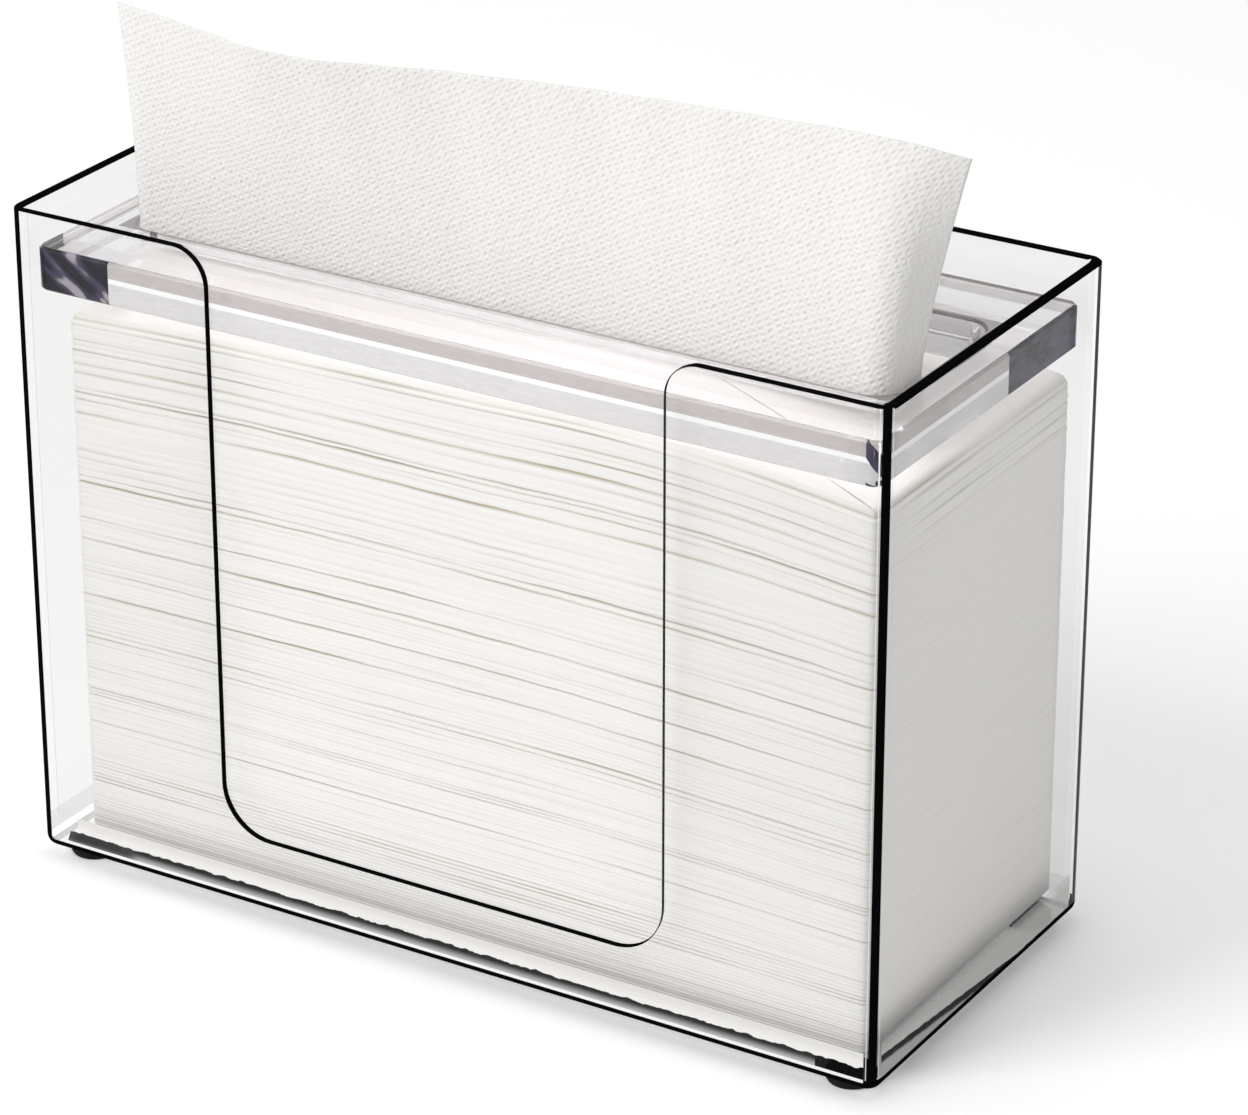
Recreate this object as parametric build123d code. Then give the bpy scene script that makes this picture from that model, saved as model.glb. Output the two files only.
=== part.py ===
from build123d import *
from math import sin, sqrt
import os

# Clear counter-top dispenser for folded paper towels: an open-topped case on four rubber feet,
# a slotted plate that presses on the stack, the stack, and one towel drawn up through the slot.
# Millimetres, Z up. The origin is the centre of the footprint, on the surface that it stands on.
# The hand opening faces -Y.

# Case, one clear moulding
case_width = 255.0
case_depth = 113.0
case_height = 183.0
wall = 3.0
floor_thickness = 8.0
case_corner_radius = 4.0
cavity_corner_radius = 1.6
case_foot_radius = 3.2
cavity_foot_radius = 1.0
rim_bevel = 0.4

# Hand opening in the front wall, open at the rim
opening_width = 133.0
opening_sill = 21.0
opening_corner_radius = 14.0
opening_mouth_radius = 10.0

# Rubber feet, stuck under the floor
foot_radius = 6.5
foot_tread_radius = 6.0
foot_height = 2.5
foot_taper_height = 0.8
foot_inset_x = 11.2
foot_inset_y = 9.0

# Press plate, guided by the case walls
plate_thickness = 12.0
plate_clearance = 1.5
plate_recess = 11.0
plate_corner_radius = 3.0
plate_edge_bevel = 0.8
side_bar = 24.5
end_bar = 11.5
slot_corner_radius = 7.0

# Stack of folded towels, as far as it fills the cavity
stack_gap_left = 10.5
stack_gap_right = 2.0
stack_gap_front = 1.5
stack_gap_back = 4.0
rest_gap = 0.3
layer_count = 40
layer_growth = 0.9
layer_unevenness = 0.45
fold_bulge = 0.75
fold_slope = 0.3
fold_scatter = 0.35
crest_inset = 2.2
# How far the layers hang below the crown of the stack, at even stations from left to right
layer_sag = (4.2, 2.6, 1.6, 0.8, 0.0, 1.8, 6.0)

# Towel drawn up through the slot
towel_thickness = 0.8
towel_reach = 57.5
towel_slot_gap = 0.35
towel_return = 17.0
towel_sway_power = 1.3
# The free edge seen from above: distance from the left wall, and from the front wall
free_edge = (
    (16.0, 29.5),
    (39.0, 26.5),
    (61.0, 23.2),
    (84.0, 26.0),
    (112.0, 32.0),
    (145.0, 37.5),
    (184.0, 42.0),
    (226.0, 46.0),
    (247.5, 52.0),
)
towel_columns = 61
towel_rows = 9
sheet_tolerance = 0.05

# Levels and spans that follow from the sizes above
floor_top = foot_height + floor_thickness
rim_level = foot_height + case_height
cavity_width = case_width - 2 * wall
cavity_depth = case_depth - 2 * wall
plate_width = cavity_width - 2 * plate_clearance
plate_depth = cavity_depth - 2 * plate_clearance
plate_top = rim_level - plate_recess
plate_underside = plate_top - plate_thickness
slot_length = plate_width - 2 * end_bar
slot_width = plate_depth - 2 * side_bar
stack_left = -cavity_width / 2 + stack_gap_left
stack_right = cavity_width / 2 - stack_gap_right
stack_front = -cavity_depth / 2 + stack_gap_front
stack_back = cavity_depth / 2 - stack_gap_back
stack_height = plate_underside - rest_gap - floor_top


def case():
    """Open-topped box with a thick floor, rounded corners and a hand opening in its front wall."""
    body = extrude(RectangleRounded(case_width, case_depth, case_corner_radius), case_height)
    body = fillet(body.faces().sort_by(Axis.Z)[0].edges(), case_foot_radius)
    cavity = extrude(RectangleRounded(cavity_width, cavity_depth, cavity_corner_radius), case_height)
    cavity = fillet(cavity.faces().sort_by(Axis.Z)[0].edges(), cavity_foot_radius)
    body = Pos(0, 0, foot_height) * body - Pos(0, 0, floor_top) * cavity
    return round_rim(body - hand_opening())


def hand_opening():
    """The block that the front wall loses: a wide U with round lower corners, past both faces."""
    drop = case_height - opening_sill
    middle = opening_sill + foot_height + drop / 2
    block = Pos(0, -case_depth / 2, middle) * Box(opening_width, 4 * wall, drop)
    lower_corners = block.edges().filter_by(Axis.Y).group_by(Axis.Z)[0]
    return fillet(lower_corners, opening_corner_radius)


def round_rim(body):
    """Rounds the two flange tips beside the opening, then bevels the sharp edges of the rim."""
    tips = body.edges().filter_by(Axis.Y).group_by(Axis.Z)[-1]
    tips = [edge for edge in tips if abs(abs(edge.center().X) - opening_width / 2) < wall]
    body = fillet(tips, opening_mouth_radius)
    rim = body.faces().filter_by(Axis.Z).sort_by(Axis.Z)[-1]
    return chamfer(rim.edges(), rim_bevel)


def foot(side_x, side_y):
    """Rubber disc that tapers to its tread, under one corner of the floor."""
    disc = extrude(Circle(foot_radius), foot_height)
    tread = disc.edges().sort_by(Axis.Z)[0]
    disc = chamfer(tread, foot_taper_height, foot_radius - foot_tread_radius)
    reach_x = case_width / 2 - foot_inset_x
    reach_y = case_depth / 2 - foot_inset_y
    return Pos(side_x * reach_x, side_y * reach_y, 0) * disc


def press_plate():
    """Thick plate with a long slot, its edges bevelled all round."""
    plate = extrude(RectangleRounded(plate_width, plate_depth, plate_corner_radius), plate_thickness)
    plate -= extrude(RectangleRounded(slot_length, slot_width, slot_corner_radius), plate_thickness)
    level_faces = plate.faces().filter_by(Axis.Z)
    plate = chamfer(level_faces.edges(), plate_edge_bevel)
    return Pos(0, 0, plate_underside) * plate


def layer_levels():
    """Heights of the joints between layers, from 0 to 1: close below, looser and uneven above."""
    share = [
        1 + layer_growth * i / layer_count + layer_unevenness * sin(2.4 * i)
        for i in range(layer_count)
    ]
    levels = [0.0]
    for part in share:
        levels.append(levels[-1] + part / sum(share))
    return levels


def fold_face(face_y, outward, height, phase):
    """Outline of one long face of the stack from the floor up, as (y, z) pairs.

    Each layer is a flat-nosed fold: it slopes out of a joint, runs upright and slopes back in.
    """
    levels = layer_levels()
    outline = []
    for i in range(layer_count):
        nose = face_y - outward * fold_scatter * (1 + sin(1.7 * i + phase)) / 2
        root = nose - outward * fold_bulge
        low, high = levels[i] * height, levels[i + 1] * height
        slope = fold_slope * (high - low)
        outline += [(root, low), (nose, low + slope), (nose, high - slope)]
    # The uppermost fold rolls over on to the top
    outline.append((nose - outward * crest_inset, height))
    return [(y, floor_top + z) for y, z in outline]


def stack_section(x, height):
    """Upright section of the stack at x: up the folds of the front, over the top, down the back."""
    front = fold_face(stack_front, -1, height, 0.0)
    back = fold_face(stack_back, 1, height, 2.0)
    outline = [Vector(x, y, z) for y, z in front + back[::-1]]
    return Face(Wire(Polyline(*outline, close=True)))


def towel_stack():
    """The folded towels as one solid, its layers hanging a little towards both ends."""
    step = (stack_right - stack_left) / (len(layer_sag) - 1)
    sections = [stack_section(stack_left + step * i, stack_height - sag) for i, sag in enumerate(layer_sag)]
    return loft(sections, ruled=True)


def towel_foot_line():
    """Where the drawn towel stands in the slot: along its front wall and round both its corners."""
    right = slot_length / 2 - towel_slot_gap
    front = -slot_width / 2 + towel_slot_gap
    bend = slot_corner_radius - towel_slot_gap
    half_turn = bend * (1 - sqrt(0.5))
    start = RadiusArc((-right + half_turn, front + half_turn), (-right + bend, front), -bend)
    run = Line((-right + bend, front), (right - bend, front))
    corner = RadiusArc((right - bend, front), (right, front + bend), -bend)
    tail = Line((right, front + bend), (right, front + towel_return))
    return Wire([start, run, corner, tail])


def towel_free_line():
    """The towel's free edge seen from above, a slack S that leans back towards the right."""
    points = [(x - case_width / 2, y - case_depth / 2) for x, y in free_edge]
    return Wire([Spline(*points)])


def top_towel():
    """One sheet, upright in the slot and swaying over from its foot line to its free line."""
    low = towel_foot_line()
    high = towel_free_line()
    bottom = plate_underside + rest_gap
    top = plate_top + towel_reach
    grid = []
    for row in range(towel_rows):
        z = bottom + (top - bottom) * row / (towel_rows - 1)
        sway = max(0.0, (z - plate_top) / (top - plate_top))
        ease = sway**towel_sway_power
        line = []
        for column in range(towel_columns):
            along = column / (towel_columns - 1)
            place = (low @ along) * (1 - ease) + (high @ along) * ease
            line.append(Vector(place.X, place.Y, z))
        grid.append(line)
    sheet = Face.make_surface_from_array_of_points(grid, tol=sheet_tolerance)
    return Solid.thicken(sheet, towel_thickness)


def main():
    """Writes one STEP file for each piece."""
    os.makedirs("parts", exist_ok=True)
    pieces = {
        "case": case(),
        "press_plate": press_plate(),
        "towel_stack": towel_stack(),
        "top_towel": top_towel(),
    }
    for end_x, side_x in (("left", -1), ("right", 1)):
        for end_y, side_y in (("front", -1), ("back", 1)):
            pieces[f"foot_{end_y}_{end_x}"] = foot(side_x, side_y)
    for name, shape in pieces.items():
        export_step(shape, f"parts/{name}.step")


main()
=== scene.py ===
"""Dresses a clear counter-top dispenser for folded paper towels.

Lengths are in metres unless a name or a comment says otherwise. The frame's pieces stay where they
are. The clear pieces are copies of the frame's own, and the paper is worked out from the boxes of
the case, the press plate and the stack.
"""

import math

import bmesh
import bpy
import numpy as np
from bpy.props import FloatProperty, FloatVectorProperty, IntProperty, PointerProperty
from mathutils import Matrix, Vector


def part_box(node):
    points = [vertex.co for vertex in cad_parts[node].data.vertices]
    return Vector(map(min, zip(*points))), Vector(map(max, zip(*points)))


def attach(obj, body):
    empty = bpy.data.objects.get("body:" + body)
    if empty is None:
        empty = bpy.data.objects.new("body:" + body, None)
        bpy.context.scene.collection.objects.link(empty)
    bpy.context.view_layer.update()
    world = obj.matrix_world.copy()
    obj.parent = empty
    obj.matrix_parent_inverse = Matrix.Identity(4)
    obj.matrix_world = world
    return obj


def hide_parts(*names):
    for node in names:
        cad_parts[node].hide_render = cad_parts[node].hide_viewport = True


bl_info = {
    "name": "Towel Dispenser Looks",
    "version": (1, 0, 0),
    "blender": (4, 5, 0),
    "location": "3D View > Sidebar > Dispenser",
    "description": "Clear case, press plate, folded towels and rubber feet of a towel dispenser",
    "category": "Object",
}

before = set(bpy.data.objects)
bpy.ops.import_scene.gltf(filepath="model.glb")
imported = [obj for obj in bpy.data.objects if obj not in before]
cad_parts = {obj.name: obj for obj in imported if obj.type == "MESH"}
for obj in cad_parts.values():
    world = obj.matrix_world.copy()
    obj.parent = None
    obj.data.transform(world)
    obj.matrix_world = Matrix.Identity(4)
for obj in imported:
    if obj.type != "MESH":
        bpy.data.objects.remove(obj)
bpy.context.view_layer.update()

CASE_LOW, CASE_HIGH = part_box("case")
PLATE_LOW, PLATE_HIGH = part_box("press_plate")
STACK_LOW, STACK_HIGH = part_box("towel_stack")

MM = 0.001
WALL = 3.0 * MM
FLOOR_TOP = STACK_LOW[2]
CASE_CORNER = 4.0 * MM
OPENING_HALF_WIDTH = 66.5 * MM
OPENING_MOUTH = 10.0 * MM
SLOT_HALF_LENGTH = 111.5 * MM
SLOT_HALF_WIDTH = 27.5 * MM
SLOT_CORNER = 7.0 * MM


class TowelDispenserLook(bpy.types.PropertyGroup):
    """Sizes and colours of the dispenser that a user would change."""

    layers: IntProperty(
        name="Towels", description="How many folded towels the stack's face shows",
        default=112, min=8, max=160,
    )
    layer_depth: FloatProperty(
        name="Fold depth", description="How far a fold stands out of the widest joints",
        default=0.0009, min=0.0, max=0.003, subtype="DISTANCE", unit="LENGTH",
    )
    paper: FloatVectorProperty(
        name="Paper", description="Colour of the towels", subtype="COLOR", size=3, min=0, max=1,
        default=(0.885, 0.87, 0.845),
    )
    # Joint colour, also laid on the stack's crest as painted shade and used in the painted image of the
    # towels on the floor's edge
    paper_shade: FloatVectorProperty(
        name="Paper joints", description="Colour in the joints between packets", subtype="COLOR", size=3,
        min=0, max=1, default=(0.42, 0.34, 0.20),
    )
    emboss: FloatProperty(
        name="Emboss pitch", description="Distance between the bumps pressed into the paper",
        default=0.00145, min=0.0005, max=0.01, subtype="DISTANCE", unit="LENGTH",
    )
    rubber: FloatVectorProperty(
        name="Rubber", description="Colour of the feet", subtype="COLOR", size=3, min=0, max=1,
        default=(0.008, 0.008, 0.009),
    )
    # Near black of the painted reflections along the clear plastic's edges
    edge: FloatVectorProperty(
        name="Clear edge", description="Colour that the clear plastic shows along its edges",
        subtype="COLOR", size=3, min=0, max=1, default=(0.003, 0.003, 0.0035),
    )
    # Grey painted over the far walls as shade and reflection
    painted_veil: FloatVectorProperty(
        name="Wall veil", description="Grey that the far walls lay over what is behind them",
        subtype="COLOR", size=3, min=0, max=1, default=(0.33, 0.33, 0.335),
    )
    clear: FloatVectorProperty(
        name="Clear tint", description="Share of light that one face of the case lets through",
        subtype="COLOR", size=3, min=0, max=1, default=(0.985, 0.985, 0.985),
    )
    plate: FloatVectorProperty(
        name="Plate tint", description="Tint of the press plate", subtype="COLOR", size=3, min=0, max=1,
        default=(0.93, 0.915, 0.93),
    )
    floor: FloatVectorProperty(
        name="Floor", description="Colour of the floor", subtype="COLOR", size=3, min=0, max=1,
        default=(0.95, 0.95, 0.95),
    )


class Wire:
    """One output of a shader node. Arithmetic on it adds Math nodes."""

    def __init__(self, make, socket):
        self.make = make
        self.socket = socket

    def math(self, operation, *others):
        return self.make.add("ShaderNodeMath", {"operation": operation}, dict(enumerate((self, *others))))

    def __add__(self, other):
        return self.math("ADD", other)

    __radd__ = __add__

    def __mul__(self, other):
        return self.math("MULTIPLY", other)

    def __sub__(self, other):
        return self.math("SUBTRACT", other)

    def __rsub__(self, other):
        return self.make.add("ShaderNodeMath", {"operation": "SUBTRACT"}, {0: other, 1: self})

    def __gt__(self, other):
        return self.math("GREATER_THAN", other)

    def __lt__(self, other):
        return self.math("LESS_THAN", other)

    def __abs__(self):
        return self.math("ABSOLUTE")

    def sine(self):
        return self.math("SINE")

    def most(self, other):
        return self.math("MAXIMUM", other)

    def least(self, other):
        return self.math("MINIMUM", other)

    def ramp(self, start, end):
        """0 at start, 1 at end, smooth between them and level beyond."""
        return self.make.add(
            "ShaderNodeMapRange", {"interpolation_type": "SMOOTHSTEP"},
            {"Value": self, "From Min": start, "From Max": end},
        )


class Nodes:
    """The shader nodes of a new material, or of the world, and the few ways in which nodes are added."""

    def __init__(self, name, store=None):
        self.data = (bpy.data.materials if store is None else store).new(name)
        self.data.use_nodes = True
        self.tree = self.data.node_tree
        self.tree.nodes.clear()

    def add(self, kind, settings=None, inputs=None, output=0):
        """Adds a node: its settings first, then a value or a wire for each input. Returns one output."""
        node = self.tree.nodes.new(kind)
        for name, value in (settings or {}).items():
            setattr(node, name, value)
        for name, value in (inputs or {}).items():
            if isinstance(value, Wire):
                self.tree.links.new(value.socket, node.inputs[name])
            else:
                node.inputs[name].default_value = value
        return Wire(self, node.outputs[output]) if node.outputs else None

    def object_place(self):
        """Object coordinates."""
        return self.add("ShaderNodeTexCoord", output="Object")

    def uv_place(self):
        """UV coordinates."""
        return self.add("ShaderNodeTexCoord", output="UV")

    def split(self, vector):
        """The three numbers of a vector."""
        node = self.add("ShaderNodeSeparateXYZ", None, {"Vector": vector}).socket.node
        return [Wire(self, socket) for socket in node.outputs]

    def join(self, *numbers):
        """A vector of up to three numbers."""
        return self.add("ShaderNodeCombineXYZ", None, dict(enumerate(numbers)))

    def noise(self, vector, scale, level=False, **inputs):
        """Soft noise from 0 to 1 at a vector, or over a plane if level."""
        settings = {"noise_dimensions": "2D"} if level else None
        return self.add("ShaderNodeTexNoise", settings, {"Vector": vector, "Scale": scale, **inputs})

    def blend(self, factor, low, high):
        """A colour between low and high."""
        low, high = (end if isinstance(end, Wire) else colour(end) for end in (low, high))
        return self.add("ShaderNodeMix", {"data_type": "RGBA"}, {0: factor, 6: low, 7: high}, output=2)

    def surface(self, **inputs):
        """A principled surface. Underscores in the names stand for blanks."""
        named = {name.replace("_", " "): value for name, value in inputs.items()}
        return self.add("ShaderNodeBsdfPrincipled", None, named)

    def mix(self, factor, first, second):
        """Two shaders mixed."""
        return self.add("ShaderNodeMixShader", None, {0: factor, 1: first, 2: second})

    def rays(self, *kinds):
        """1 for a ray of any of the given kinds."""
        wires = [self.add("ShaderNodeLightPath", output=f"Is {kind} Ray") for kind in kinds]
        for other in wires[1:]:
            wires[0] = wires[0].most(other)
        return wires[0]

    def finish(self, surface, output="ShaderNodeOutputMaterial"):
        """Links the surface shader to the output and returns the material or world."""
        self.add(output, None, {"Surface": surface})
        return self.data


def colour(rgb):
    """A colour with full alpha."""
    return (*rgb, 1.0)


def grey(share):
    """A grey."""
    return (share, share, share)


def dimmed(rgb, share):
    """A colour times a share."""
    return [c * share for c in rgb]


def dress(piece, material):
    """Gives a piece one material."""
    piece.data.materials.clear()
    piece.data.materials.append(material)


def new_piece(name, mesh):
    """An object at the origin for a mesh."""
    piece = bpy.data.objects.new(name, mesh)
    bpy.context.scene.collection.objects.link(piece)
    return piece


def smooth_copy(node, name, angle):
    """A copy of a frame node's mesh with its corners merged.

    Its level and upright faces are flat, and the rest is smooth except over edges past angle.
    """
    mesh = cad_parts[node].data.copy()
    mesh.name = name
    shape = bmesh.new()
    shape.from_mesh(mesh)
    bmesh.ops.remove_doubles(shape, verts=shape.verts, dist=1e-6)
    bmesh.ops.recalc_face_normals(shape, faces=shape.faces)
    shape.to_mesh(mesh)
    shape.free()
    mesh.set_sharp_from_angle(angle=angle)
    normals = np.empty(3 * len(mesh.polygons))
    mesh.polygons.foreach_get("normal", normals)
    square = np.abs(normals).reshape(-1, 3).max(axis=1) > 0.9999
    mesh.polygons.foreach_set("use_smooth", ~square)
    mesh.update()
    return new_piece(name, mesh)


def grid_mesh(name, points, uv, closed=False, poles=False):
    """A mesh of quads over an array of points, rows by columns.

    closed joins the last column to the first. poles adds one point at the middle of the first and
    of the last row and closes each with a fan of triangles.
    """
    rows, columns = points.shape[:2]
    index = np.arange(rows * columns).reshape(rows, columns)
    across = np.concatenate([index, index[:, :1]], axis=1) if closed else index
    quads = np.stack([across[:-1, :-1], across[:-1, 1:], across[1:, 1:], across[1:, :-1]], axis=-1)
    quads = quads.reshape(-1, 4)
    vertices = points.reshape(-1, 3)
    loops = quads.reshape(-1)
    sizes = np.full(len(quads), 4)
    uv_corner = uv.reshape(-1, 2)
    if poles:
        low = across[0]
        high = across[-1]
        first = len(vertices)
        vertices = np.concatenate([vertices, points[0].mean(0)[None], points[-1].mean(0)[None]])
        uv_corner = np.concatenate([uv_corner, uv[0].mean(0)[None], uv[-1].mean(0)[None]])
        bottom = np.stack([low[1:], low[:-1], np.full(len(low) - 1, first)], axis=-1)
        top = np.stack([high[:-1], high[1:], np.full(len(high) - 1, first + 1)], axis=-1)
        loops = np.concatenate([loops, bottom.reshape(-1), top.reshape(-1)])
        sizes = np.concatenate([sizes, np.full(len(bottom) + len(top), 3)])
    mesh = bpy.data.meshes.new(name)
    mesh.vertices.add(len(vertices))
    mesh.vertices.foreach_set("co", vertices.astype(np.float32).ravel())
    mesh.loops.add(len(loops))
    mesh.loops.foreach_set("vertex_index", loops.astype(np.int32))
    mesh.polygons.add(len(sizes))
    starts = np.concatenate([[0], np.cumsum(sizes)[:-1]])
    mesh.polygons.foreach_set("loop_start", starts.astype(np.int32))
    layer = mesh.uv_layers.new(name="UVMap")
    layer.data.foreach_set("uv", uv_corner[loops].astype(np.float32).ravel())
    mesh.update(calc_edges=True)
    mesh.validate()
    mesh.shade_smooth()
    return mesh


def through(knots, values, at):
    """A smooth curve through values at knots: a cubic on each span, its slopes from the neighbours."""
    knots = np.asarray(knots, float)
    values = np.asarray(values, float)
    slope = np.gradient(values, knots)
    span = np.clip(np.searchsorted(knots, at, side="right") - 1, 0, len(knots) - 2)
    width = knots[span + 1] - knots[span]
    t = (at - knots[span]) / width
    return (
        (2 * t**3 - 3 * t**2 + 1) * values[span]
        + (t**3 - 2 * t**2 + t) * width * slope[span]
        + (3 * t**2 - 2 * t**3) * values[span + 1]
        + (t**3 - t**2) * width * slope[span + 1]
    )


# Towel stack

# How far the layers hang below the crown of the stack, in millimetres, at even stations from left to right
LAYER_SAG = (4.2, 2.6, 1.6, 0.8, 0.0, 1.8, 6.0)
# Where the rows of one fold lie, as shares of the way from its joint up to the next
FOLD_STEPS = (0.0, 0.3, 0.7)
# Radii of the stack's upright corners, and of the round from its sides on to its top
STACK_CORNER = 2.0 * MM
CREST = 3.5 * MM
CAP_RINGS = 10
# Slow waves of the joints: size as a share of the height, length in metres, start, turn with height
WAVES = ((0.0060, 0.042, 1.2, 3.0), (0.0035, 0.021, 4.0, 7.0))
# Short unevenness of each fold, as a share of the height
FOLD_JITTER = 0.0030
# How far a fold stands back: at most by chance, and at most by the slow change along it
FOLD_SETBACK = (0.22 * MM, 0.35 * MM)
STACK_UV_HEIGHT = 0.15


def stack_height(x):
    """Height of the stack at x: the crown's height less the sag there."""
    stations = np.linspace(STACK_LOW[0], STACK_HIGH[0], len(LAYER_SAG))
    return STACK_HIGH[2] - STACK_LOW[2] - through(stations, LAYER_SAG, x) * MM


def fold_joints(count, rng):
    """Where the joints between towels lie, from 0 to 1: thin folds below, thicker and uneven above."""
    rise = np.arange(count) / count
    share = (1 + 1.1 * rise**1.5) * rng.uniform(1 - 0.35 * (0.4 + rise), 1 + 0.45 * (0.4 + rise))
    return np.concatenate([[0.0], np.cumsum(share) / share.sum()])


def joint_widths(count, rng):
    """How far each joint gapes, from 0 to 1: most are closed, one in a few is open, above all higher up."""
    rise = np.arange(count) / count
    gape = rng.uniform(0.10, 0.30, count)
    open_ones = rng.uniform(size=count) < 0.20 + 0.24 * rise
    gape[open_ones] = rng.uniform(0.45, 0.9, open_ones.sum()) * (0.35 + 0.55 * rise[open_ones] ** 0.5)
    return gape


def stack_loop():
    """The stack's plan as a closed loop: points, outward directions and distance along it.

    Four straight sides joined by quarter circles, with more points on the front than elsewhere.
    """
    half_x = (STACK_HIGH[0] - STACK_LOW[0]) / 2 - STACK_CORNER
    half_y = (STACK_HIGH[1] - STACK_LOW[1]) / 2 - STACK_CORNER
    points = []
    normals = []
    sides = (
        (-math.pi / 2, (-half_x, -half_y), (half_x, -half_y), 130),
        (0.0, (half_x, -half_y), (half_x, half_y), 34),
        (math.pi / 2, (half_x, half_y), (-half_x, half_y), 60),
        (math.pi, (-half_x, half_y), (-half_x, -half_y), 24),
    )
    for angle, start, end, count in sides:
        t = np.linspace(0, 1, count)[:, None]
        run = np.array(start) * (1 - t) + np.array(end) * t
        turn = angle + np.linspace(0, math.pi / 2, 5)[1:-1]
        out = np.array([[math.cos(angle), math.sin(angle)]])
        arc = np.stack([np.cos(turn), np.sin(turn)], axis=-1)
        points += [run + out * STACK_CORNER, np.array(end) + arc * STACK_CORNER]
        normals += [np.repeat(out, count, axis=0), arc]
    points = np.concatenate(points)
    normals = np.concatenate(normals)
    points[:, 0] += (STACK_HIGH[0] + STACK_LOW[0]) / 2
    points[:, 1] += (STACK_HIGH[1] + STACK_LOW[1]) / 2
    along = np.concatenate([[0], np.cumsum(np.linalg.norm(np.diff(points, axis=0), axis=1))])
    return points, normals, along


def slow_noise(along, seeds, span):
    """Smooth noise from 0 to 1 along a line, one row for each seed pair: three sines of unlike lengths."""
    first, second = seeds
    turn = 2 * math.pi * along[None, :] / span
    value = np.sin(turn + first[:, None]) + np.sin(2.3 * turn + second[:, None])
    value = value + np.sin(0.6 * turn + (first + second)[:, None])
    return np.clip(0.5 + value / 5, 0, 1)


def stack_mesh(look):
    """The stack's skin as one closed surface of rows around it.

    A wall row at share v of the height stands at the stack's own height times v, with slow waves
    that die out at the floor and the top. It stands out to the fold's nose, less the gape of the
    nearest joint, less a setback of the fold that changes slowly along it. Above the wall the rows
    turn in over a quarter circle and run to the middle of the top.
    """
    rng = np.random.default_rng(11)
    joints = fold_joints(look.layers, rng)
    steps = np.array(FOLD_STEPS)
    share = (joints[:-1, None] + steps * np.diff(joints)[:, None]).ravel()
    step = np.tile(steps, look.layers)
    fold = np.repeat(np.arange(look.layers), len(steps))
    points, normals, along = stack_loop()
    x = points[:, 0]
    v = share[:, None]
    height = stack_height(x)[None, :]
    wave = sum(size * np.sin(x / length + start + turn * v) for size, length, start, turn in WAVES)
    wave = wave * np.sin(math.pi * v) ** 0.8 * v
    seeds = rng.uniform(0, 2 * math.pi, (2, look.layers))
    drift = slow_noise(along, seeds, 0.13)[fold]
    jitter = slow_noise(along, seeds[::-1] * 3, 0.034)[fold] - 0.5
    bend = v * np.clip(4 * (1 - v), 0, 1)
    z = FLOOR_TOP + height * (v + wave + FOLD_JITTER * jitter * bend)
    gape = joint_widths(look.layers, rng)[fold][:, None] * (0.50 + 0.80 * drift)
    joint = np.clip(gape, 0, 1) * (step == 0)[:, None]
    setback = rng.uniform(0, 1, look.layers)[fold][:, None] * FOLD_SETBACK[0] + FOLD_SETBACK[1] * drift * v
    inward = joint * look.layer_depth + setback
    long_side = np.abs(normals[:, 1]) ** 0.5
    end_open = 0.08 + 0.72 * np.clip((v - 0.86) / 0.08, 0, 1)
    inward = inward * (end_open + (1 - end_open) * long_side)
    drop = np.clip(1 - height * (1 - v) / CREST, 0, 1)
    inward = inward + CREST * (1 - np.sqrt(1 - drop**2 * 0.999))
    wall = np.empty((len(share), len(x), 3))
    wall[..., :2] = points - normals * inward[..., None]
    wall[..., 2] = z
    middle = np.array([(STACK_LOW[0] + STACK_HIGH[0]) / 2, (STACK_LOW[1] + STACK_HIGH[1]) / 2])
    draw = 1 - np.linspace(0, 1, CAP_RINGS + 1)[1:-1, None, None] ** 2.2
    rim = wall[-1, :, :2]
    cap = np.empty((CAP_RINGS - 1, len(x), 3))
    cap[..., :2] = middle + (rim - middle) * (draw * 0.99 + 0.005)
    cap[..., 2] = FLOOR_TOP + stack_height(cap[..., 0]) - 0.0001
    surface = np.concatenate([wall, cap])
    uv = np.empty((*surface.shape[:2], 2))
    uv[..., 0] = along
    rise = np.concatenate([share, 1 + np.linspace(0, 0.3, CAP_RINGS)[1:]])
    uv[..., 1] = rise[:, None] * STACK_UV_HEIGHT
    mesh = grid_mesh("towel_stack_skin", surface, uv, closed=True, poles=True)
    # On the crest the joint value is raised to at least 0.35 of how far the round has turned: painted shade
    # on the stack's top edge
    joint = (joint * (end_open + (1 - end_open) * long_side)).clip(0.35 * drop, 1)
    shade = np.concatenate([joint.ravel(), np.zeros(cap[..., 0].size + 2)])
    mesh.attributes.new("joint", "FLOAT", "POINT").data.foreach_set("value", shade.astype(np.float32))
    return mesh


# Density of the fine paper edges, along the stack and up it
EDGE_LINES = (14.0, 1500.0)


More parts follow.
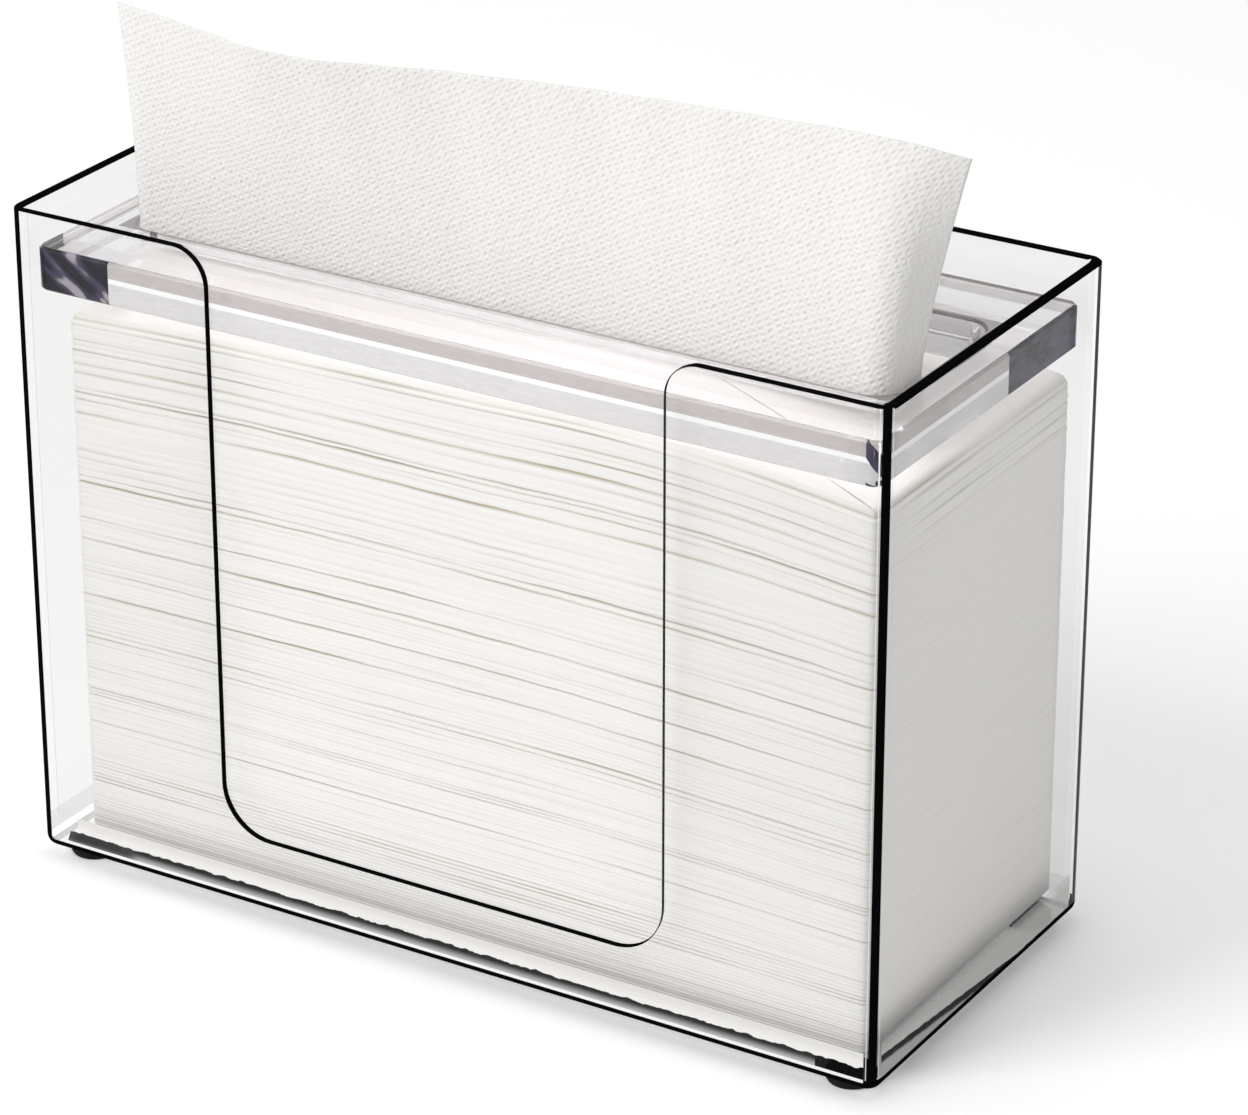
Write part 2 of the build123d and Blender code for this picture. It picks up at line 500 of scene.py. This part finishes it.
def paper_material(look, name, stacked):
    """Soft embossed paper: pressed bumps on the sheet with painted shade in their hollows, fine edge lines
    and tan joints on the stack, with painted shade on its crest.
    """
    make = Nodes(name)
    uv = make.split(make.uv_place())
    if stacked:
        streaks = make.join(uv[0] * EDGE_LINES[0], uv[1] * EDGE_LINES[1])
        fine = make.noise(streaks, 1.0, level=True, Detail=3.0, Roughness=0.6)
        joint = make.add("ShaderNodeAttribute", {"attribute_name": "joint"}, output="Fac")
        # The joint attribute holds the dark joints and the painted shade on the crest
        line = fine.ramp(0.58, 0.76) * 0.12 + joint.ramp(0.05, 0.9) * 0.85
        tone = make.blend(line.least(1.0), look.paper, look.paper_shade)
        relief = fine
        distance = 0.0001
    else:
        pitch = look.emboss
        sway = make.noise(make.uv_place(), 70.0, level=True, Detail=1.0)
        grain = make.noise(make.uv_place(), 520.0, level=True, Detail=2.0)
        turn = 2 * math.pi / pitch
        along = uv[1] * (turn * 0.89) - uv[0] * (turn * 0.45) + sway * 9.0
        across = uv[0] * (turn * 0.62) + uv[1] * (turn * 0.28) + sway * 7.0
        bumps = along.sine() * (across.sine() * 0.6 + 0.5)
        relief = bumps * 0.35 + grain * 1.3
        # A little darker in the hollows of the emboss: painted shade
        tone = make.blend(bumps.ramp(-0.9, 0.6), dimmed(look.paper, 0.97), look.paper)
        distance = 0.00034
    bump = make.add("ShaderNodeBump", None, {"Strength": 0.8, "Distance": distance, "Height": relief})
    return make.finish(make.surface(Base_Color=tone, Roughness=0.92, Specular_IOR_Level=0.2, Normal=bump))


# Drawn towel

# The free edge seen from above and its height, in millimetres from the case's left, front and foot
FREE_EDGE = np.array([
    (15.7, 29.3, 232.0), (28.0, 27.6, 231.4), (42.0, 26.2, 230.4), (59.3, 23.4, 229.5),
    (75.1, 24.4, 229.0), (93.2, 28.0, 229.5), (108.8, 31.5, 230.0), (126.9, 34.6, 230.3),
    (142.4, 37.3, 230.5), (169.5, 40.3, 230.7), (202.0, 43.5, 230.7), (226.6, 46.0, 230.4),
    (238.2, 48.3, 229.0), (247.5, 52.4, 226.5),
])
SHEET_INSET = 0.35 * MM
SHEET_RETURN = 17.0 * MM
SHEET_THICKNESS = 0.35 * MM
SHEET_COLUMNS = 300
SHEET_ROWS = 90
# Length and height that the sheet's UV spans
SHEET_UV = (0.238, 0.072)
# Sideways ripple of the sheet: slow in its middle, quick at its free edge
RIPPLE_SLOW = 0.3 * MM
RIPPLE_QUICK = 0.2 * MM


def spaced(points, count):
    """The same line with its points set evenly along it."""
    steps = np.linalg.norm(np.diff(points, axis=0), axis=1)
    along = np.concatenate([[0], np.cumsum(steps)])
    at = np.linspace(0, along[-1], count)
    return np.stack([np.interp(at, along, points[:, k]) for k in range(points.shape[1])], axis=-1)


def sheet_foot():
    """Where the towel stands in the slot: an eighth of a turn, the front wall, a quarter turn, a tail."""
    right = SLOT_HALF_LENGTH - SHEET_INSET
    front = -SLOT_HALF_WIDTH + SHEET_INSET
    bend = SLOT_CORNER - SHEET_INSET
    first = np.linspace(-0.75 * math.pi, -0.5 * math.pi, 12)
    last = np.linspace(-0.5 * math.pi, 0, 24)
    left_arc = np.stack([-right + bend + bend * np.cos(first), front + bend + bend * np.sin(first)], axis=-1)
    right_arc = np.stack([right - bend + bend * np.cos(last), front + bend + bend * np.sin(last)], axis=-1)
    tail = np.array([[right, front + SHEET_RETURN]])
    return np.concatenate([left_arc, right_arc, tail])


def sheet_mesh():
    """The drawn towel: each column runs from its foot in the slot to its place on the free edge.

    It stands straight inside the slot, and above it leaves the upright slowly at first, so that the
    sheet leans in one soft curve. A slight ripple runs across it.
    """
    foot = spaced(sheet_foot(), SHEET_COLUMNS)
    dense = np.linspace(FREE_EDGE[0, 0], FREE_EDGE[-1, 0], 400)
    edge = np.stack([dense] + [through(FREE_EDGE[:, 0], FREE_EDGE[:, k], dense) for k in (1, 2)], axis=-1)
    edge = spaced(edge, SHEET_COLUMNS) * MM
    edge += np.array([CASE_LOW[0], CASE_LOW[1], CASE_LOW[2]])
    low = PLATE_LOW[2] + 0.3 * MM
    mouth = PLATE_HIGH[2]
    row = np.linspace(0, 1, SHEET_ROWS)[:, None]
    z = low + (edge[:, 2][None, :] - low) * row
    sway = np.clip((z - mouth) / (edge[:, 2][None, :] - mouth), 0, 1)
    ease = sway**1.3
    u = np.linspace(0, 1, SHEET_COLUMNS)[None, :]
    surface = np.empty((SHEET_ROWS, SHEET_COLUMNS, 3))
    surface[..., 0] = foot[:, 0] * (1 - ease) + edge[:, 0] * ease
    surface[..., 1] = foot[:, 1] * (1 - ease) + edge[:, 1] * ease
    surface[..., 2] = z
    slow = RIPPLE_SLOW * np.sin(u * 31 + 2 * row) * np.sin(math.pi * sway)
    surface[..., 1] += slow + RIPPLE_QUICK * np.sin(u * 71 + 4 * row) * sway
    uv = np.empty((SHEET_ROWS, SHEET_COLUMNS, 2))
    uv[..., 0] = u * SHEET_UV[0]
    uv[..., 1] = row * SHEET_UV[1]
    return grid_mesh("top_towel_sheet", surface, uv)


# Clear plastic

WHITE = (1.0, 1.0, 1.0)
# Depth within which a point counts as lying on a face of the case or of the plate
CASE_SKIN = 0.3 * MM
PLATE_SKIN = 0.7 * MM
# Share of the gloss that is kept, so that the case doesn't mirror the white room too strongly
CASE_GLOSS = 0.6


def clear_sheet(make, look, outer):
    """Thin clear plastic that doesn't bend what is behind it: a faint tint, and a gloss on its outer faces.

    The gloss is 4 percent straight on and grows with the fifth power of how far the face turns away.
    """
    sight = make.add("ShaderNodeBsdfTransparent", None, {"Color": colour(look.clear)})
    gloss = make.add("ShaderNodeBsdfGlossy", None, {"Color": colour(WHITE), "Roughness": 0.03})
    turned = make.add("ShaderNodeLayerWeight", None, {"Blend": 0.5}, output="Facing")
    shine = turned.math("POWER", 5.0) * 0.96 + 0.04
    return make.mix(shine * outer * CASE_GLOSS, sight, gloss)


def lit_through(make, body, tint):
    """The same surface, but lamps shine through it with only a tint."""
    sight = make.add("ShaderNodeBsdfTransparent", None, {"Color": colour(tint)})
    return make.mix(make.rays("Shadow"), body, sight)


# Where the painted dark reflection line of an upright corner starts, from the middle of the corner's curve
# outwards
CORNER_FRONT_LEFT = 0.4 * MM
CORNER_FRONT_RIGHT = 1.9 * MM
CORNER_BACK = 1.8 * MM
# Heights of the painted dark reflection line along the case's lower edge
LOWER_LINE_FRONT = 2.75 * MM
LOWER_LINE_RIGHT = 3.55 * MM
LOWER_LINE_FAR = 0.8 * MM
# How far in from a face its lower edge still counts as a part of it
LOWER_DEPTH = 3.0 * MM


def case_lines(x, y, z, near, outer):
    """Where the case is painted dark, as painted reflections of dark surroundings: its upright corners, its
    rim, the opening, its lower edge.

    Returns the painted dark reflection lines, and the painted highlight beside the front right corner.
    """
    side, deep, rise = abs(x), abs(y), z - CASE_LOW[2]
    front, right = near

    beyond = (side - (CASE_HIGH[0] - CASE_CORNER)).least(deep - (CASE_HIGH[1] - CASE_CORNER))
    nearest = (x > 0.0) * (y < 0.0)
    in_front = (x > 0.0) * (CORNER_FRONT_RIGHT - CORNER_FRONT_LEFT) + (CORNER_FRONT_LEFT - CORNER_BACK)
    corner = (beyond > (y < 0.0) * in_front + CORNER_BACK) * (rise > nearest * (3.0 * MM))
    corner_highlight = nearest * (beyond > 1.3 * MM) * outer

    rim_band = (abs(deep - CASE_HIGH[1] + 0.9 * MM) < 1.0 * MM).most(side > CASE_HIGH[0] - WALL)
    rim_band = rim_band.most(y > CASE_HIGH[1] - WALL)
    rim = (z > CASE_HIGH[2] - 0.35 * MM) * rim_band
    rim = rim.most((x > CASE_HIGH[0] - CASE_SKIN) * (z > CASE_HIGH[2] - 0.7 * MM))

    inside_wall = (y > CASE_LOW[1] + 0.1 * MM) * (y < CASE_LOW[1] + 1.6 * MM)
    cut = inside_wall * (side < OPENING_HALF_WIDTH + OPENING_MOUTH)

    strong = front.most(right)
    height = strong * (LOWER_LINE_FRONT - LOWER_LINE_FAR) + LOWER_LINE_FAR
    height = height + right * (LOWER_LINE_RIGHT - LOWER_LINE_FRONT)
    behind = y > CASE_HIGH[1] - LOWER_DEPTH
    lower = (rise > 0.04 * MM) * (height > rise) * (behind * 0.40 + 0.45).most(strong)
    return rim.most(corner).most(lower).most(cut), corner_highlight


# The floor's edge as it is painted to look through the front, all painted light: where the ragged foot of
# the painted image of the towels runs, how high that painted paper reaches, and the dark blocks over the
# feet at both ends, painted reflections of the feet
TOWEL_FOOT = 6.9 * MM
TOWEL_HEIGHT = 11.2 * MM
FOOT_REFLECTION_LEFT = (-118.8 * MM, -99.0 * MM, -94.0 * MM)
FOOT_REFLECTION_RIGHT = (110.8 * MM, 124.3 * MM)
# The same painted image through the right side: the foot of the painted towels there sinks towards the back
SIDE_FOOT = 9.8 * MM
SIDE_FOOT_SLOPE = 0.086
SIDE_FOOT_START = -52 * MM
SIDE_HEIGHT = 13.2 * MM
# Top of the painted white highlight line over the lower edge
HIGHLIGHT_LINE_FRONT = 3.7 * MM
HIGHLIGHT_LINE_RIGHT = 4.3 * MM


def floor_edge(make, look, x, y, z, near):
    """Painted light for the floor seen through the front and the right: a painted image of the paper, dimmed
    as painted shade, down to a ragged line, then a painted dark reflection, light, and a painted white
    highlight.

    Returns the colour, where it lies and how much it covers, and where the painted white highlight line is.
    """
    rise = z - CASE_LOW[2]
    front, right = near
    ragged = make.noise(make.object_place(), 330.0, Detail=3.0)
    level = rise - (ragged - 0.5) * (2.0 * MM)

    # Painted image of the towels seen through the floor, with their fine edge lines
    fine = make.noise(make.join((x - y) * EDGE_LINES[0], z * EDGE_LINES[1]), 1.0, level=True, Detail=3.0)
    paper = make.blend(fine.ramp(0.58, 0.76) * 0.14, look.paper, look.paper_shade)
    # Darker higher up: painted shade
    paper = make.blend(rise.ramp(7.5 * MM, 10.5 * MM), paper, dimmed(look.paper, 0.86))
    # Painted dark reflection band, from grey low down to near black higher up
    middle = make.blend(rise.ramp(3.2 * MM, 6.2 * MM), grey(0.55), (0.022, 0.022, 0.023))
    # Painted reflection of the left front foot, a dark block
    left_foot_reflection = make.blend(rise.ramp(3.4 * MM, 5.0 * MM), grey(0.16), (0.050, 0.050, 0.051))
    front_tone = make.blend(x.ramp(FOOT_REFLECTION_LEFT[2], FOOT_REFLECTION_LEFT[1]), middle, left_foot_reflection)
    # Painted reflection of the right front foot, near black
    front_tone = make.blend(x > FOOT_REFLECTION_RIGHT[0], front_tone, (0.005, 0.005, 0.006))
    front_tone = make.blend(level > TOWEL_FOOT, front_tone, paper)
    shown = (level < TOWEL_FOOT) * (x > FOOT_REFLECTION_LEFT[0] + (rise - 3 * MM) * 0.35)
    shown = shown.most((x > STACK_LOW[0] - 1 * MM) * (rise < TOWEL_HEIGHT))
    front_band = front * (x < FOOT_REFLECTION_RIGHT[1]) * shown

    # Through the right side: painted towels dimmed to 0.70 as painted shade above a sloping foot, a painted
    # dark reflection line under them, grey lower down
    reach = (SIDE_FOOT - (y - SIDE_FOOT_START) * SIDE_FOOT_SLOPE).most(3.6 * MM)
    above = rise * 0.6 + level * 0.4 - reach
    side_tone = make.blend(above.ramp(-2.6 * MM, -1.5 * MM), grey(0.45), grey(0.030))
    side_tone = make.blend(above > 0.0, side_tone, dimmed(look.paper, 0.70))
    side_band = right * (y < STACK_HIGH[1]) * (y > STACK_LOW[1] - 1 * MM) * (rise < SIDE_HEIGHT)
    thin = right * (above > 0.0) * (rise.ramp(9 * MM, 13 * MM) * 0.45 + 0.15)

    band = front_band.most(side_band)
    # Painted white highlight line over the lower edge
    white = front * (rise < HIGHLIGHT_LINE_FRONT).most(right * (rise < HIGHLIGHT_LINE_RIGHT) * (reach > 5.4 * MM))
    return make.blend(front, side_tone, front_tone), band, band * (0.97 - thin), white


def case_material(look):
    """The case: clear walls, and painted dark reflection lines where its edges, corners and floor are seen
    edge on, with a painted highlight beside the front right corner and a painted image of the floor's edge.

    Painted grey lies thinly over the far walls as shade and reflection, in soft painted reflection streaks
    along the back.
    """
    make = Nodes("clear_case")
    x, y, z = make.split(make.object_place())
    front = (y < CASE_LOW[1] + LOWER_DEPTH) * (y - CASE_LOW[1] < x - CASE_LOW[0] + 0.4 * MM)
    near = (front, x > CASE_HIGH[0] - LOWER_DEPTH)
    outer = (abs(x) > CASE_HIGH[0] - CASE_SKIN).most(abs(y) > CASE_HIGH[1] - CASE_SKIN)
    dark_reflection, corner_highlight = case_lines(x, y, z, near, outer)
    tone, band, band_cover, white = floor_edge(make, look, x, y, z, near)
    # Painted highlight: pale grey on the white line and beside the front right corner
    tone = make.blend(white.most(corner_highlight), tone, grey(0.93))
    # Painted dark reflections along the edges, corners, rim, opening and lower edge
    tone = make.blend(dark_reflection, tone, look.edge)

    # Soft painted reflection streaks along the back wall
    reflection_streak = make.noise(make.join(x * 5.0, z * 34.0), 1.0)
    back = y > CASE_HIGH[1] - 0.1 * MM
    far = (x < CASE_LOW[0] + 0.1 * MM).most(back)
    rise = z - CASE_LOW[2]
    far_floor = far * (rise > 2.0 * MM) * (rise < 8.0 * MM)
    # Painted grey over the far walls as shade and reflection, stronger at the floor's height
    painted_veil = far * (0.12 + back * reflection_streak.ramp(0.45, 0.8) * 0.12) + far_floor * 0.12
    tone = make.blend(dark_reflection.most(band).most(corner_highlight), look.painted_veil, tone)
    cover = dark_reflection.most(band_cover).most(corner_highlight * 0.85).most(painted_veil)

    filled = make.surface(Base_Color=tone, Roughness=0.5, Specular_IOR_Level=0.0)
    body = make.mix(cover, clear_sheet(make, look, outer), filled)
    return make.finish(lit_through(make, body, (0.985, 0.985, 0.985)))


# Painted refraction bands on the plate's sides, as drops from its top: the end of the upper one, and the
# painted white highlight line
UPPER_BAND = 4.6 * MM
HIGHLIGHT_BAND = (4.4 * MM, 5.8 * MM)
# The plate's ends, painted dark as reflections of dark surroundings: length of the left one, and where the
# one on the right face starts
LEFT_END = 23 * MM
RIGHT_END = 13 * MM
# Dark brown of the painted reflection lines along the far edges and round the slot
EDGE_REFLECTION_BROWN = (0.10, 0.075, 0.07)


def plate_material(look):
    """The press plate: thick clear plastic that bends light, with painted refraction bands on its sides and
    ends painted dark as reflections.

    A side face has a painted pinkish upper band, a painted white highlight line and a painted pale lower
    band. Painted dark brown reflection lines run along the far upper edges and round the slot.
    """
    make = Nodes("clear_plate")
    x, y, z = make.split(make.object_place())
    glass = make.surface(Base_Color=colour(look.plate), Roughness=0.0, IOR=1.49, Transmission_Weight=1.0)
    drop = PLATE_HIGH[2] - z
    front = y < PLATE_LOW[1] + PLATE_SKIN
    back = y > PLATE_HIGH[1] - PLATE_SKIN
    right = x > PLATE_HIGH[0] - PLATE_SKIN
    left = x < PLATE_LOW[0] + PLATE_SKIN
    side = front.most(back).most(right).most(left)
    # Cloud noise for the painted refraction bands
    cloud = make.noise(make.join(x * 55.0, y * 55.0, z * 320.0), 5.0, Detail=3.0)
    # Facet noise for the painted dark reflections at the ends
    reflection_facets = make.noise(make.join(x * 60.0 - z * 50.0, y * 60.0, z * 240.0 + x * 190.0), 1.0, Detail=1.0)

    # Painted refraction bands: a pinkish upper band, a pale lower band and a painted white highlight line
    # between them
    line = (drop > HIGHLIGHT_BAND[0]) * (drop < HIGHLIGHT_BAND[1])
    upper_tone = make.blend(cloud, (0.46, 0.42, 0.41), (0.62, 0.57, 0.56))
    lower_tone = make.blend(cloud, (0.66, 0.65, 0.65), (0.86, 0.85, 0.85))
    tone = make.blend(drop < UPPER_BAND, lower_tone, upper_tone)
    tone = make.blend(line, tone, WHITE)

    # The ends painted dark as reflections of dark surroundings
    at_left = x < PLATE_LOW[0] + LEFT_END
    end_left = at_left * front.most(left * (y < PLATE_LOW[1] + 12 * MM))
    end_right = right * (y > RIGHT_END)
    near_right = front * (x > PLATE_HIGH[0] - 4 * MM) + right * (y < PLATE_LOW[1] + 5 * MM)
    dark_reflection = end_left.most(end_right).most(near_right * (reflection_facets > 0.48))
    # Painted dark reflection: near black to dark purple facets
    end_reflection_tone = make.blend(reflection_facets.ramp(0.42, 0.60), (0.004, 0.003, 0.010), (0.055, 0.043, 0.085))
    # Painted glint: pale facets on the left end
    end_reflection_tone = make.blend(reflection_facets.ramp(0.60, 0.66) * end_left, end_reflection_tone, (0.36, 0.34, 0.37))
    # Lighter patches in the right end's painted reflection
    end_reflection_tone = make.blend(end_right * cloud.ramp(0.4, 0.9), end_reflection_tone, (0.12, 0.10, 0.125))
    tone = make.blend(dark_reflection, tone, end_reflection_tone)
    near = front.most(right)
    cover = side * (0.40 + near * 0.36 + line * near * 0.2).most(dark_reflection)
    cover = cover.most(at_left * (y < PLATE_LOW[1] + 16 * MM) * (drop > 11.5 * MM) * 0.9)

    # Bevels and the slot's wall, with painted reflections and painted shade seen through the glass
    bevel = (drop < 0.75 * MM) * (drop > 0.02 * MM)
    far_bevel = bevel * back.most(left)
    in_slot = (abs(x) < SLOT_HALF_LENGTH + 0.9 * MM) * (abs(y) < SLOT_HALF_WIDTH + 0.9 * MM)
    tone = make.blend(far_bevel, tone, EDGE_REFLECTION_BROWN)
    slot_tone = make.blend(drop.ramp(1.0 * MM, 3.0 * MM), (0.62, 0.58, 0.58), (0.30, 0.27, 0.28))
    slot_low = make.blend(cloud, (0.50, 0.48, 0.49), (0.85, 0.84, 0.84))
    slot_tone = make.blend(drop > 5.0 * MM, slot_tone, slot_low)
    slot_bevel = make.blend(in_slot * (y < 0.0), EDGE_REFLECTION_BROWN, (0.42, 0.36, 0.36))
    slot_tone = make.blend(bevel, slot_tone, slot_bevel)
    tone = make.blend(in_slot, tone, slot_tone)
    cover = cover.most(far_bevel * 0.8).most(in_slot * (0.38 + bevel * 0.42))

    # Painted dark reflection lines on the upper face
    top = drop < 0.02 * MM
    back_line = top * (y > PLATE_HIGH[1] - 2.6 * MM)
    slot_line = top * (abs(x) < SLOT_HALF_LENGTH + 1.8 * MM) * (abs(y) < SLOT_HALF_WIDTH + 1.8 * MM)
    tone = make.blend(back_line.most(slot_line), tone, EDGE_REFLECTION_BROWN)
    cover = cover.most(back_line * 0.72).most(slot_line * 0.6)

    painted = make.surface(Base_Color=tone, Roughness=0.2, Specular_IOR_Level=0.12)
    return make.finish(lit_through(make, make.mix(cover.least(1.0), glass, painted), (0.93, 0.92, 0.93)))


def rubber_material(look):
    """Matt black rubber with a faint moulding grain."""
    make = Nodes("foot_rubber")
    grain = make.noise(make.object_place(), 1800.0, Detail=3.0)
    bump = make.add("ShaderNodeBump", None, {"Strength": 0.3, "Distance": 0.0001, "Height": grain})
    tone = make.blend(grain, look.rubber, dimmed(look.rubber, 1.6))
    rough = 0.55 + grain * 0.2
    return make.finish(make.surface(Base_Color=tone, Roughness=rough, Specular_IOR_Level=0.08, Normal=bump))


class DressCase(bpy.types.Operator):
    """Gives the clear case its plastic"""

    bl_idname = "dispenser.case"
    bl_label = "Clear case"

    def execute(self, context):
        look = context.scene.towel_dispenser
        piece = smooth_copy("case", "clear_case", math.radians(30))
        dress(piece, case_material(look))
        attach(piece, "base")
        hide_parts("case")
        return {"FINISHED"}


class DressPlate(bpy.types.Operator):
    """Gives the press plate its plastic"""

    bl_idname = "dispenser.plate"
    bl_label = "Press plate"

    def execute(self, context):
        look = context.scene.towel_dispenser
        piece = smooth_copy("press_plate", "clear_press_plate", math.radians(30))
        dress(piece, plate_material(look))
        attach(piece, "plate")
        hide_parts("press_plate")
        return {"FINISHED"}


class BuildStack(bpy.types.Operator):
    """Builds the layered stack of folded towels"""

    bl_idname = "dispenser.stack"
    bl_label = "Towel stack"

    def execute(self, context):
        look = context.scene.towel_dispenser
        piece = new_piece("folded_towels", stack_mesh(look))
        dress(piece, paper_material(look, "stacked_paper", True))
        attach(piece, "base")
        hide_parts("towel_stack")
        return {"FINISHED"}


class BuildSheet(bpy.types.Operator):
    """Builds the towel that is drawn up through the slot"""

    bl_idname = "dispenser.sheet"
    bl_label = "Drawn towel"

    def execute(self, context):
        look = context.scene.towel_dispenser
        piece = new_piece("drawn_towel", sheet_mesh())
        dress(piece, paper_material(look, "embossed_paper", False))
        thick = piece.modifiers.new("Paper thickness", "SOLIDIFY")
        thick.thickness = SHEET_THICKNESS
        thick.offset = -1.0
        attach(piece, "plate")
        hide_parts("top_towel")
        return {"FINISHED"}


class DressFeet(bpy.types.Operator):
    """Gives the four feet their rubber"""

    bl_idname = "dispenser.feet"
    bl_label = "Rubber feet"

    def execute(self, context):
        material = rubber_material(context.scene.towel_dispenser)
        for end in ("front_left", "front_right", "back_left", "back_right"):
            dress(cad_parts[f"foot_{end}"], material)
        return {"FINISHED"}


# Stage

# The camera, fitted to the photo's corners: place in metres, turn and tilt in radians, lens in pixels,
# and the width of its sensor in millimetres
CAMERA_PLACE = (0.6287, -1.0026, 0.6396)
CAMERA_TURN = -0.5445
CAMERA_TILT = 0.4309
LENS_PIXELS = 5038.7
PHOTO_WIDTH = 1248
SENSOR = 36.0

FLOOR_HALF = 6.0
FLOOR_POINTS = 13
FLOOR_LIFT = 0.13
ROOM_LIGHT = 0.54
# Name, place, size and power of each lamp, and the point that they shine at
LAMPS = (
    ("key", (-2.2, -3.4, 3.2), 2.2, 118.0),
    ("top", (-0.2, 0.0, 1.9), 1.0, 7.0),
)
LAMP_AIM = (0.0, 0.0, 0.1)
SEEN_RAYS = ("Camera", "Glossy", "Transmission")


class SetStage(bpy.types.Operator):
    """Sets the floor, the lights and the camera"""

    bl_idname = "dispenser.stage"
    bl_label = "Stage"

    def execute(self, context):
        scene = context.scene
        look = scene.towel_dispenser
        self.floor(look)
        self.lights(scene)
        self.camera(scene)
        scene.view_settings.view_transform = "Standard"
        scene.cycles.use_denoising = True
        scene.cycles.max_bounces = 16
        scene.cycles.transparent_max_bounces = 32
        return {"FINISHED"}

    def floor(self, look):
        """A level square floor, matt and pale, lifted towards white where it is seen."""
        side = np.linspace(-FLOOR_HALF, FLOOR_HALF, FLOOR_POINTS)
        points = np.stack([*np.meshgrid(side, side), np.zeros((FLOOR_POINTS, FLOOR_POINTS))], axis=-1)
        floor = new_piece("floor", grid_mesh("floor", points, points[..., :2]))
        make = Nodes("floor_paint")
        paint = make.add("ShaderNodeBsdfDiffuse", None, {"Color": colour(look.floor)})
        lift = make.add("ShaderNodeEmission", None, {"Color": colour(WHITE), "Strength": FLOOR_LIFT})
        lit = make.add("ShaderNodeAddShader", None, {0: paint, 1: lift})
        dress(floor, make.finish(make.mix(make.rays(*SEEN_RAYS), paint, lit)))

    def lights(self, scene):
        """Even light all round, white where it is seen, and two large soft lamps."""
        make = Nodes("studio", bpy.data.worlds)
        room = make.add("ShaderNodeBackground", None, {"Color": colour(WHITE), "Strength": ROOM_LIGHT})
        white = make.add("ShaderNodeBackground", None, {"Color": colour(WHITE)})
        scene.world = make.finish(make.mix(make.rays(*SEEN_RAYS), room, white), "ShaderNodeOutputWorld")
        for name, place, size, power in LAMPS:
            lamp = bpy.data.lights.new(name, "AREA")
            lamp.shape = "SQUARE"
            lamp.size = size
            lamp.energy = power
            holder = bpy.data.objects.new(name, lamp)
            scene.collection.objects.link(holder)
            aim = np.array(LAMP_AIM) - np.array(place)
            holder.matrix_world = Matrix.Translation(place) @ look_along(aim)

    def camera(self, scene):
        """The camera at the photo's angle."""
        data = bpy.data.cameras.new("photo")
        data.sensor_fit = "HORIZONTAL"
        data.sensor_width = SENSOR
        data.lens = SENSOR * LENS_PIXELS / PHOTO_WIDTH
        data.clip_start = 0.05
        data.clip_end = 60.0
        camera = bpy.data.objects.new("photo", data)
        scene.collection.objects.link(camera)
        ahead = np.array([
            math.sin(CAMERA_TURN) * math.cos(CAMERA_TILT),
            math.cos(CAMERA_TURN) * math.cos(CAMERA_TILT),
            -math.sin(CAMERA_TILT),
        ])
        camera.matrix_world = Matrix.Translation(CAMERA_PLACE) @ look_along(ahead)
        scene.camera = camera


def look_along(ahead):
    """The turn that points an object's -Z along a direction, with its X level."""
    ahead = np.array(ahead, float) / np.linalg.norm(ahead)
    side = np.cross(ahead, (0, 0, 1))
    side /= np.linalg.norm(side)
    up = np.cross(side, ahead)
    return Matrix([(side[i], up[i], -ahead[i]) for i in range(3)]).to_4x4()


STEPS = (DressCase, DressPlate, BuildStack, BuildSheet, DressFeet, SetStage)


class DispenserPanel(bpy.types.Panel):
    """Lists the sizes, the colours and the steps that build the dispenser"""

    bl_idname = "VIEW3D_PT_dispenser"
    bl_label = "Towel dispenser"
    bl_space_type = "VIEW_3D"
    bl_region_type = "UI"
    bl_category = "Dispenser"

    def draw(self, context):
        look = context.scene.towel_dispenser
        for name in TowelDispenserLook.__annotations__:
            self.layout.prop(look, name)
        for step in STEPS:
            self.layout.operator(step.bl_idname)


CLASSES = (TowelDispenserLook, *STEPS, DispenserPanel)


def register():
    """Registers the classes and the dispenser's properties."""
    for item in CLASSES:
        bpy.utils.register_class(item)
    bpy.types.Scene.towel_dispenser = PointerProperty(type=TowelDispenserLook)


def unregister():
    """Takes back what register did."""
    del bpy.types.Scene.towel_dispenser
    for item in reversed(CLASSES):
        bpy.utils.unregister_class(item)


def main():
    """Runs every step in order."""
    register()
    for step in STEPS:
        group, name = step.bl_idname.split(".")
        getattr(getattr(bpy.ops, group), name)()


if __name__ == "__main__":
    main()
